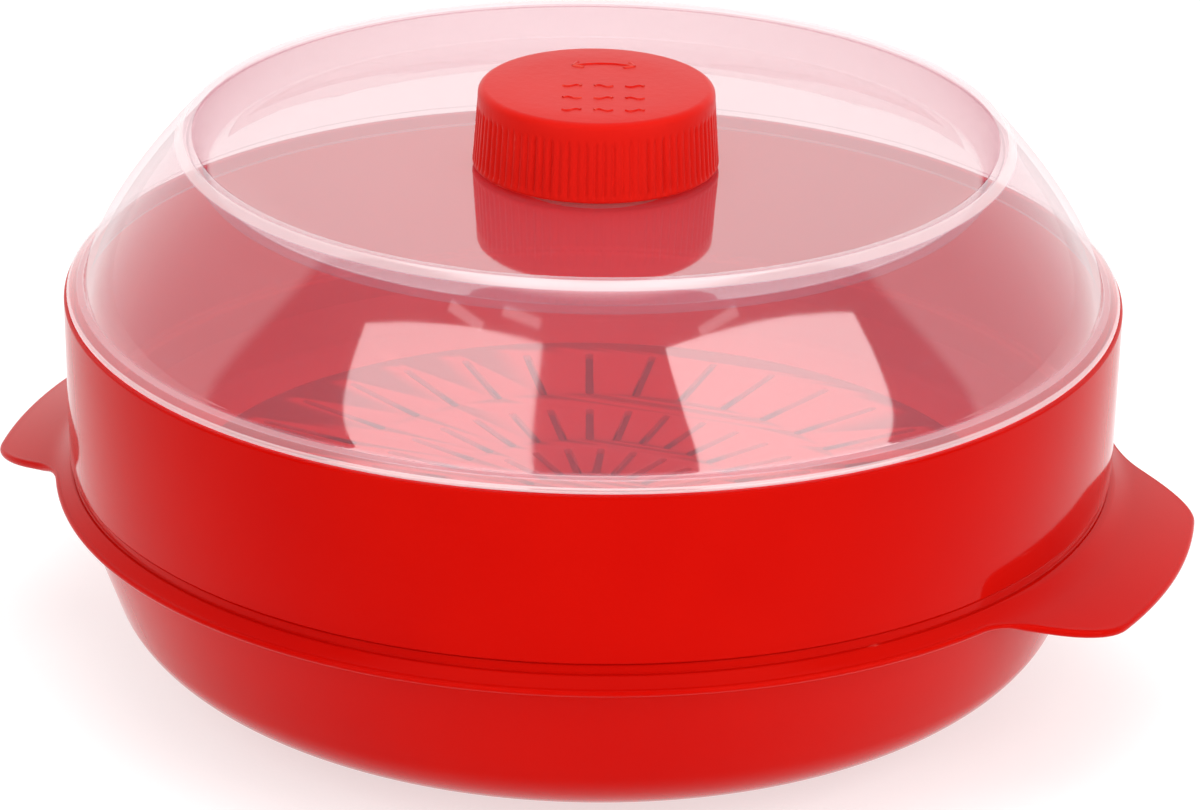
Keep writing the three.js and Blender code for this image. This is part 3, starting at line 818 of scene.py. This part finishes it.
# ---------------------------------------------------------------- popping tray
def make_tray(material):
    """The tray: a stepped wall that nests in the bowl, and a floor plate with rings of slots."""
    skirt = COLLAR - NEST_GAP
    bend_z = LIP_Z - COLLAR_DEPTH
    inner_slope = BOWL_WALL / math.cos(SIDE_DRAFT) + NEST_GAP
    foot = min(skirt, bowl_side(TRAY_UNDER_Z + TRAY_CORNER) - inner_slope)
    bend = min(skirt, bowl_side(bend_z) - inner_slope)
    outer = VESSEL - TRAY_DRAFT
    foot_low = foot - TRAY_FOOT_INSET
    outline = filleted(
        [
            (FLOOR_PLATE, TRAY_UNDER_Z, 0.1),
            (foot_low, TRAY_UNDER_Z, TRAY_CORNER),
            (bend, bend_z, 1.0),
            (skirt, SHOULDER_Z, 0.3),
            (outer, SHOULDER_Z, 0.6),
            (VESSEL, TRAY_TOP_Z, 0.6),
            (VESSEL - WALL, TRAY_TOP_Z, 0.4),
            (outer - WALL, SHOULDER_Z + WALL, 0.8),
            (skirt - WALL, SHOULDER_Z + WALL, 1.0),
            (bend - WALL, bend_z, 1.0),
            (foot_low - 0.7 * WALL, TRAY_FLOOR_Z, TRAY_CORNER - WALL),
            (FLOOR_PLATE, TRAY_FLOOR_Z, 0.1),
        ]
    )
    shell = revolve("tray_shell", outline, TRAY_STEPS)
    step = 0.12
    slots = [circle(FLOOR_PLATE + 0.3, 240)]
    for count, start, end in SLOT_RINGS:
        for i in range(count):
            slots.append(turned(slot_outline(start, end), 360.0 * i / count))
    low_z, high_z = TRAY_UNDER_Z + step, TRAY_FLOOR_Z - step
    floor = cut_plate("tray_floor", slots, low_z, high_z, 0.25, MOULD_EDGE)
    for piece in (shell, floor):
        piece.data.materials.append(material)
        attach(piece, "tray")
    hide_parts("popping_tray")


def slot_outline(start, end, steps=6):
    """A slot along +X with round ends."""
    half = SLOT_HALF_WIDTH
    outline = []
    for centre, first in ((end - half, -90.0), (start + half, 90.0)):
        for k in range(steps + 1):
            x, y = point(first + 180.0 * k / steps, half)
            outline.append((centre + x, y))
    return outline


# ---------------------------------------------------------------- lid
def lid_crown():
    """The lid's outer surface, from its flange over the ridge to the recessed disc."""
    foot_radius = LID_FLANGE - LID_FLANGE_WIDTH - LID_STEP
    foot_z = LID_FLANGE_Z + LID_FLANGE_RISE + SEAT_GAP
    shoulder = RIDGE_RADIUS + RIDGE_WIDTH
    shoulder_z = RIDGE_Z - RIDGE_SHOULDER_DROP
    rise = shoulder_z - foot_z
    wall = bezier(
        (foot_radius, foot_z),
        (foot_radius - 0.1 * (foot_radius - shoulder), foot_z + 0.29 * rise),
        (foot_radius - 0.52 * (foot_radius - shoulder), foot_z + 0.655 * rise),
        (shoulder, shoulder_z),
        30,
    )
    inner = RIDGE_RADIUS - RIDGE_WIDTH / 2
    ridge = filleted(
        [
            (wall[-2].x, wall[-2].y, 0),
            (shoulder, shoulder_z, 3.0),
            (RIDGE_RADIUS + 0.35 * RIDGE_WIDTH, RIDGE_Z - 0.1, 1.4),
            (inner + 0.1 * RIDGE_WIDTH, RIDGE_Z, 1.0),
            (inner - 2.0, DISC_Z + 0.6, 2.2),
            (inner - 5.0, DISC_Z, 0),
        ],
        closed=False,
    )[1:]
    return wall[:-1] + ridge


def lid_outline():
    """The lid's section: hole, underside, skirt, flange and crown, back to the hole."""
    crown = lid_crown()
    under = list(reversed(offset(crown, WALL)[1:]))
    skirt = VESSEL - WALL - NEST_GAP
    flange_inner = LID_FLANGE - LID_FLANGE_WIDTH
    hole = STEM_RADIUS + TURN_GAP
    disc = [hole, VENT_INNER, VENT_OUTER, 30.0, 56.0, 74.0]
    outline = filleted(
        [
            (VENT_INNER, DISC_Z, 0),
            (hole, DISC_Z, 0.3),
            (hole, DISC_UNDER_Z, 0.3),
            (VENT_INNER, DISC_UNDER_Z, 0),
        ],
        closed=False,
    )[1:-1]
    outline += [Vector((r, DISC_UNDER_Z)) for r in disc[1:]]
    outline += under
    outline += filleted(
        [
            (under[-1].x, under[-1].y, 0),
            (skirt - WALL, LID_SKIRT_Z, 0.4),
            (skirt, LID_SKIRT_Z, 0.4),
            (skirt, LID_FLANGE_Z, 0.2),
            (LID_FLANGE, LID_FLANGE_Z, 0.3),
            (LID_FLANGE, LID_FLANGE_Z + LID_EDGE, 0.5),
            (flange_inner, LID_FLANGE_Z + LID_FLANGE_RISE, 0.4),
            (crown[0].x, crown[0].y, 0.5),
            (crown[1].x, crown[1].y, 0),
        ],
        closed=False,
    )[1:-1]
    outline += crown[1:]
    return outline + [Vector((r, DISC_Z)) for r in reversed(disc[1:])]


def in_vent(angle, radius):
    """Whether a place on the lid's disc is in one of its steam windows."""
    step = 360.0 / VENT_COUNT
    away = abs((angle - MARK_TURN + step / 2) % step - step / 2)
    return VENT_INNER < radius < VENT_OUTER and away < VENT_HALF_SPAN


def make_lid(material):
    """The lid, with the two lugs that stop the shutter moulded under it."""
    shell = revolve("lid_shell", lid_outline(), VESSEL_STEPS, window=in_vent)
    for stop in stop_angles():
        inner, outer = SHUTTER_RADIUS + TAB_END_GAP, SHUTTER_RADIUS + TAB_REACH
        half = STOP_WIDTH / 2
        corners = [(inner, -half), (outer, -half), (outer, half), (inner, half)]
        lug_outline = turned(corners, stop)
        lug = cut_plate("lug", [lug_outline], SHUTTER_LOW_Z, DISC_UNDER_Z + STOP_ROOT, 0.3)
        shell = join("lid_shell", [shell, lug])
    shell.data.materials.append(material)
    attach(shell, "lid")
    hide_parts("domed_lid")


def stop_angles():
    """Where the two lugs stand that stop the shutter's tab at closed and at open."""
    clear = math.degrees((TAB_WIDTH / 2 + STOP_WIDTH / 2 + STOP_GAP) / SHUTTER_RADIUS)
    return TAB_TURN - clear, TAB_TURN + VENT_TRAVEL + clear


# ---------------------------------------------------------------- knob
def knob_outline():
    """The knob's section: stem with its clip groove, hub, cavity, skirt and crown."""
    top = KNOB_RADIUS - KNOB_DRAFT
    cavity = top - RIB_DEPTH - KNOB_WALL
    cavity_top = CROWN_Z - KNOB_WALL
    groove_low = CLIP_LOW_Z - SEAT_GAP
    groove_high = CLIP_TOP_Z + SEAT_GAP / 2
    groove = STEM_RADIUS - GROOVE_DEPTH
    inside = filleted(
        [
            (0, STEM_END_Z, 0),
            (STEM_RADIUS, STEM_END_Z, 0.8),
            (STEM_RADIUS, groove_low, 0.15),
            (groove, groove_low, 0.1),
            (groove, groove_high, 0.1),
            (STEM_RADIUS, groove_high, 0.15),
            (STEM_RADIUS, HUB_Z, 0.5),
            (HUB_RADIUS, HUB_Z, 0.4),
            (HUB_RADIUS, cavity_top, 1.0),
            (cavity, cavity_top, 1.5),
            (cavity, SKIRT_Z, 0.4),
            (KNOB_RADIUS, SKIRT_Z, 0.7),
            (KNOB_RADIUS - 0.05, SKIRT_Z + 1.2, 0),
        ],
        closed=False,
    )
    steps = 26
    skirt = []
    for k in range(1, steps):
        z = SKIRT_Z + 1.2 + (KNOB_HEIGHT - KNOB_ROUND - 1.2) * k / steps
        share = (z - SKIRT_Z) / KNOB_HEIGHT
        skirt.append(Vector((KNOB_RADIUS - KNOB_DRAFT * share, z)))
    crown = filleted(
        [
            (skirt[-1].x, skirt[-1].y, 0),
            (top + 0.05, CROWN_Z - 0.1, KNOB_ROUND),
            (top - 9.0, CROWN_Z, 0),
            (0, CROWN_Z, 0),
        ],
        closed=False,
    )[1:]
    return inside + skirt + crown


def rib_depth(angle_deg):
    """Depth of the grip's grooves: one per rib, some a little shallower than others."""
    angle = math.radians(angle_deg)
    uneven = 0.72 + 0.28 * math.sin(angle * 17) * math.cos(angle * 29)
    return RIB_DEPTH * uneven * (0.5 - 0.5 * math.cos(angle * RIB_COUNT)) ** 2.2


def knob_reshape(angle, place, radius, height):
    """Cuts the grip's grooves in the skirt and the two key flats on the stem."""
    if radius > KNOB_RADIUS - KNOB_DRAFT - 0.4 and height < CROWN_Z - KNOB_ROUND / 2:
        rise = smooth_step(SKIRT_Z + RIB_FOOT, SKIRT_Z + RIB_FADE, height)
        fade = 1.0 - smooth_step(CROWN_Z - 3 * RIB_FADE, CROWN_Z - 2 * RIB_FADE, height)
        radius -= rib_depth(angle) * rise * fade
    if height < SHUTTER_TOP_Z + SEAT_GAP / 2:
        away = abs(math.sin(math.radians(angle - MARK_TURN)))
        radius = min(radius, STEM_FLAT / max(away, 1e-6))
    return radius, height


def raised_stroke(points, half_width=MARK_HALF_WIDTH):
    """A rounded raised line on the crown, along points read from the front of the knob."""
    curve = bpy.data.curves.new("stroke", "CURVE")
    curve.dimensions = "3D"
    curve.bevel_depth = half_width * MM
    curve.bevel_resolution = 3
    curve.use_fill_caps = True
    spline = curve.splines.new("POLY")
    spline.points.add(len(points) - 1)
    shifted = [(x + MARK_SHIFT, y) for x, y in points]
    for target, (x, y) in zip(spline.points, turned(shifted, MARK_TURN)):
        target.co = (x * MM, y * MM, 0, 1)
    return mesh_from_curve("stroke", curve, CROWN_Z + MARK_HEIGHT - half_width, MARK_EDGE)


def knob_marks():
    """Generic raised marks: a curved arrow with two heads and three rows of short waves."""
    steps = 16
    start = 90.0 - ARROW_HALF_SPAN
    arc = [point(start + 2 * ARROW_HALF_SPAN * k / steps, ARROW_RADIUS) for k in range(steps + 1)]
    strokes = [raised_stroke(arc)]
    for side in (-1, 1):
        tip = point(90.0 + side * (ARROW_HALF_SPAN + 1.5), ARROW_RADIUS)
        barb_angle = 90.0 + side * (ARROW_HALF_SPAN - ARROW_HEAD)
        for barb in (-ARROW_HEAD_HALF_WIDTH, ARROW_HEAD_HALF_WIDTH):
            strokes.append(raised_stroke([point(barb_angle, ARROW_RADIUS + barb), tip]))
    for row, row_y in enumerate(WAVE_ROWS):
        for column in (-1, 0, 1):
            wave = []
            for k in range(9):
                x = WAVE_PITCH * column + WAVE_LENGTH * (k / 8 - 0.5)
                wave.append((x, row_y + WAVE_HEIGHT * math.sin(math.pi * (k / 4 + row + column))))
            strokes.append(raised_stroke(wave, 0.5))
    return strokes


def make_knob(material):
    """The knob's body and, on its crown, the raised marks."""
    steps = RIB_COUNT * STEPS_PER_RIB
    knob = revolve("knob_body", knob_outline(), steps, closed=False, reshape=knob_reshape)
    marks = join("knob_marks", knob_marks())
    for piece in (knob, marks):
        piece.data.materials.append(material)
        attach(piece, "knob")
    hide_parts("vent_knob")


def open_arc(radius, opening, steps):
    """A circle round the axis, left open over a width across +X."""
    gap = math.degrees(math.asin(opening / 2 / radius))
    return [point(gap + (360.0 - 2 * gap) * k / steps, radius) for k in range(steps + 1)]


def friction_washer():
    """The washer round the stem, between the knob's hub and the lid."""
    hole = STEM_RADIUS + TURN_GAP
    corners = [
        (hole, WASHER_LOW_Z, 0.3),
        (WASHER_RADIUS, WASHER_LOW_Z, 0.4),
        (WASHER_RADIUS, WASHER_TOP_Z, 0.4),
        (hole, WASHER_TOP_Z, 0.3),
    ]
    return revolve("friction_washer", filleted(corners), 120, smooth_angle=PLATE_EDGE)


def shutter_disc():
    """The disc under the lid: a tab, four windows and a keyed hole for the stem."""
    tab_end = SHUTTER_RADIUS + TAB_REACH - TAB_END_GAP
    rim = open_arc(SHUTTER_RADIUS, TAB_WIDTH, 120)
    rim += [(tab_end, -TAB_WIDTH / 2), (tab_end, TAB_WIDTH / 2)]
    outlines = [turned(rim, TAB_TURN)]
    for i in range(VENT_COUNT):
        centre = 360.0 / VENT_COUNT * i + MARK_TURN - VENT_TRAVEL
        outlines.append(ring_slice(VENT_INNER, VENT_OUTER, centre, VENT_HALF_SPAN))
    flat = STEM_FLAT + KEY_GAP
    key = [(x, min(max(y, -flat), flat)) for x, y in circle(STEM_RADIUS + KEY_GAP, 72)]
    outlines.append(turned(key, MARK_TURN))
    return cut_plate("shutter_disc", outlines, SHUTTER_LOW_Z, SHUTTER_TOP_Z, 0.25)


def snap_clip():
    """The C-shaped clip in the stem's groove."""
    inner_arc = open_arc(STEM_RADIUS - GROOVE_DEPTH + KEY_GAP, CLIP_MOUTH, 60)
    outline = turned(open_arc(CLIP_RADIUS, CLIP_MOUTH, 60) + inner_arc[::-1], MARK_TURN)
    return cut_plate("snap_clip", [outline], CLIP_LOW_Z, CLIP_TOP_Z, 0.2)


def make_vent_parts(silicone, milky):
    """The three small pieces that turn with the knob."""
    for piece, node, material, slot in (
        (friction_washer(), "knob_washer", silicone, "silicone"),
        (shutter_disc(), "vent_shutter", milky, "milky_plastic"),
        (snap_clip(), "knob_clip", milky, "milky_plastic"),
    ):
        piece.data.materials.append(material)
        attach(piece, "knob")
        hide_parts(node)


# ---------------------------------------------------------------- studio
# Metres, degrees and strengths of light; the ears' axis is VIEW_AZIMUTH from the camera's right
VIEW_AZIMUTH = 19.5
CAMERA_DISTANCE = 1.1168
CAMERA_HEIGHT = 0.5309
AIM_HEIGHT = 0.0603
AIM_SIDE = 0.0019
CAMERA_ROLL = 0.945
LENS = 158.33
BOX_DISTANCE = 1.3
STRIP_HEIGHT = 0.035
STRIP_RADIANCE = 1.1
BACK_LIGHT = 1.25
SIDE_LIGHT = 0.85
ROOM_LIGHT = 0.1
CEILING_LIGHT = 2.6
BACK_TO_SIDE = (-0.8, -0.3)
SIDE_TO_ROOM = (-0.04, 0.04)
WALL_TO_CEILING = (0.86, 0.94)
LIGHT_TARGET = (0.0, -0.09, 0.1)
FLOOR_SIZE = 6.0
FLOOR_GRID = 24
FLOOR_DROP = 0.0001


def seen_from_front(side, depth, height):
    """A place given as the camera sees it: to the right, away from it, and up."""
    return Vector((*turned([(side, depth)], VIEW_AZIMUTH)[0], height))


def make_camera():
    """A long lens in front of the object, a little above it."""
    data = bpy.data.cameras.new("camera")
    data.lens = LENS
    camera = bpy.data.objects.new("camera", data)
    bpy.context.collection.objects.link(camera)
    camera.location = seen_from_front(0.0, -CAMERA_DISTANCE, CAMERA_HEIGHT)
    aim = seen_from_front(AIM_SIDE, 0.0, AIM_HEIGHT)
    camera.rotation_euler = (aim - camera.location).to_track_quat("-Z", "Y").to_euler()
    camera.rotation_euler.rotate_axis("Z", math.radians(CAMERA_ROLL))
    bpy.context.scene.camera = camera


def softbox(name, azimuth, elevation, width, tall, radiance, roll=0.0, yaw=0.0):
    """A rectangular studio light that looks at the object, placed by direction in degrees.

    Azimuth runs to the camera's right, from the camera's own direction.
    """
    light = bpy.data.lights.new(name, "AREA")
    light.shape = "RECTANGLE"
    light.size, light.size_y = width, tall
    light.energy = radiance * math.pi * width * tall
    obj = bpy.data.objects.new(name, light)
    bpy.context.collection.objects.link(obj)
    a, e = math.radians(azimuth), math.radians(elevation)
    side, depth = math.sin(a) * math.cos(e), -math.cos(a) * math.cos(e)
    target = seen_from_front(*LIGHT_TARGET)
    obj.location = target + seen_from_front(side, depth, math.sin(e)) * BOX_DISTANCE
    obj.rotation_euler = (target - obj.location).to_track_quat("-Z", "Y").to_euler()
    obj.rotation_euler.rotate_axis("Z", math.radians(roll))
    obj.rotation_euler.rotate_axis("Y", math.radians(yaw))


def make_world():
    """Pale walls behind and beside the object, a pale ceiling and a dark room behind the camera."""
    world = bpy.data.worlds.new("studio")
    world.use_nodes = True
    tree = world.node_tree
    background = tree.nodes["Background"]
    background.inputs["Color"].default_value = (1, 1, 1, 1)
    coordinates = tree.nodes.new("ShaderNodeTexCoord")
    split = tree.nodes.new("ShaderNodeSeparateXYZ")
    tree.links.new(coordinates.outputs["Generated"], split.inputs["Vector"])
    flat = tree.nodes.new("ShaderNodeVectorMath")
    flat.operation = "MULTIPLY"
    flat.inputs[1].default_value = (1, 1, 0)
    tree.links.new(coordinates.outputs["Generated"], flat.inputs[0])
    unit = tree.nodes.new("ShaderNodeVectorMath")
    unit.operation = "NORMALIZE"
    tree.links.new(flat.outputs["Vector"], unit.inputs[0])
    along = tree.nodes.new("ShaderNodeVectorMath")
    along.operation = "DOT_PRODUCT"
    along.inputs[1].default_value = seen_from_front(0.0, -1.0, 0.0)
    tree.links.new(unit.outputs["Vector"], along.inputs[0])

    def ramp(value, low_in, high_in, low_out, high_out):
        """A soft change from one strength to the other."""
        node = tree.nodes.new("ShaderNodeMapRange")
        node.interpolation_type = "SMOOTHSTEP"
        node.inputs["From Min"].default_value = low_in
        node.inputs["From Max"].default_value = high_in
        for key, out in (("To Min", low_out), ("To Max", high_out)):
            if isinstance(out, float):
                node.inputs[key].default_value = out
            else:
                tree.links.new(out, node.inputs[key])
        tree.links.new(value, node.inputs["Value"])
        return node.outputs["Result"]

    walls = ramp(along.outputs["Value"], *BACK_TO_SIDE, BACK_LIGHT, SIDE_LIGHT)
    walls = ramp(along.outputs["Value"], *SIDE_TO_ROOM, walls, ROOM_LIGHT)
    room = ramp(split.outputs["Z"], *WALL_TO_CEILING, walls, CEILING_LIGHT)
    tree.links.new(room, background.inputs["Strength"])
    bpy.context.scene.world = world


def make_floor():
    """A flat sheet of film under the object, cut into a grid of squares."""
    places = [FLOOR_SIZE * (k / FLOOR_GRID - 0.5) / MM for k in range(FLOOR_GRID + 1)]
    verts = [(x, y, 0.0) for x in places for y in places]
    faces = []
    for i in range(FLOOR_GRID):
        for j in range(FLOOR_GRID):
            a = i * (FLOOR_GRID + 1) + j
            faces.append([a, a + FLOOR_GRID + 1, a + FLOOR_GRID + 2, a + 1])
    floor = new_object("studio_floor", verts, faces)
    floor.location.z = -FLOOR_DROP
    floor.data.materials.append(floor_paper("floor_paper"))


def make_studio():
    """The room, the floor, two large softboxes and three window strips."""
    make_world()
    bpy.context.scene.view_settings.view_transform = "Standard"
    make_floor()
    softbox("box_left", -35.9, 22.0, width=0.97, tall=1.5, radiance=2.8, roll=12.5, yaw=2.3)
    softbox("window_left", -43.5, 53.0, width=0.18, tall=STRIP_HEIGHT, radiance=STRIP_RADIANCE)
    softbox("window_middle", -25.5, 56.5, width=0.18, tall=STRIP_HEIGHT, radiance=STRIP_RADIANCE)
    softbox("window_right", 43.0, 53.0, width=0.2, tall=STRIP_HEIGHT, radiance=STRIP_RADIANCE)
    softbox("box_right", 49.5, 19.7, width=1.1, tall=1.5, radiance=3.3, roll=-9.4, yaw=-13.9)


make_camera()
make_studio()
red = gloss_plastic(
    "red_plastic_gloss",
    deep=(0.42, 0.002, 0.001, 1),
    bright=(0.45, 0.003, 0.001, 1),
    worn=(0.7, 0.1, 0.08, 1),
    roughness=0.08,
    texture_depth=0.02,
    # Painted light: the lighter colour of faces that do not face away from the axis
    inside=(0.5, 0.005, 0.004, 1),
)
knob_red = gloss_plastic(
    "knob_plastic_semi",
    deep=(0.53, 0.008, 0.005, 1),
    bright=(0.58, 0.012, 0.007, 1),
    worn=(0.75, 0.14, 0.1, 1),
    roughness=0.3,
    texture_depth=0.12,
)
clear = clear_plastic("clear_plastic_milky")
milky_white = satin_plastic(
    "natural_plastic",
    colour=(0.84, 0.82, 0.78, 1),
    shade=(0.78, 0.76, 0.72, 1),
    roughness=0.35,
    subsurface=0.2,
    alpha=0.3,
)
silicone_grey = satin_plastic(
    "silicone_rubber",
    colour=(0.72, 0.7, 0.67, 1),
    shade=(0.66, 0.64, 0.61, 1),
    roughness=0.55,
    subsurface=0.1,
    alpha=0.6,
)
make_bowl(red)
make_tray(red)
make_lid(clear)
make_knob(knob_red)
make_vent_parts(silicone_grey, milky_white)
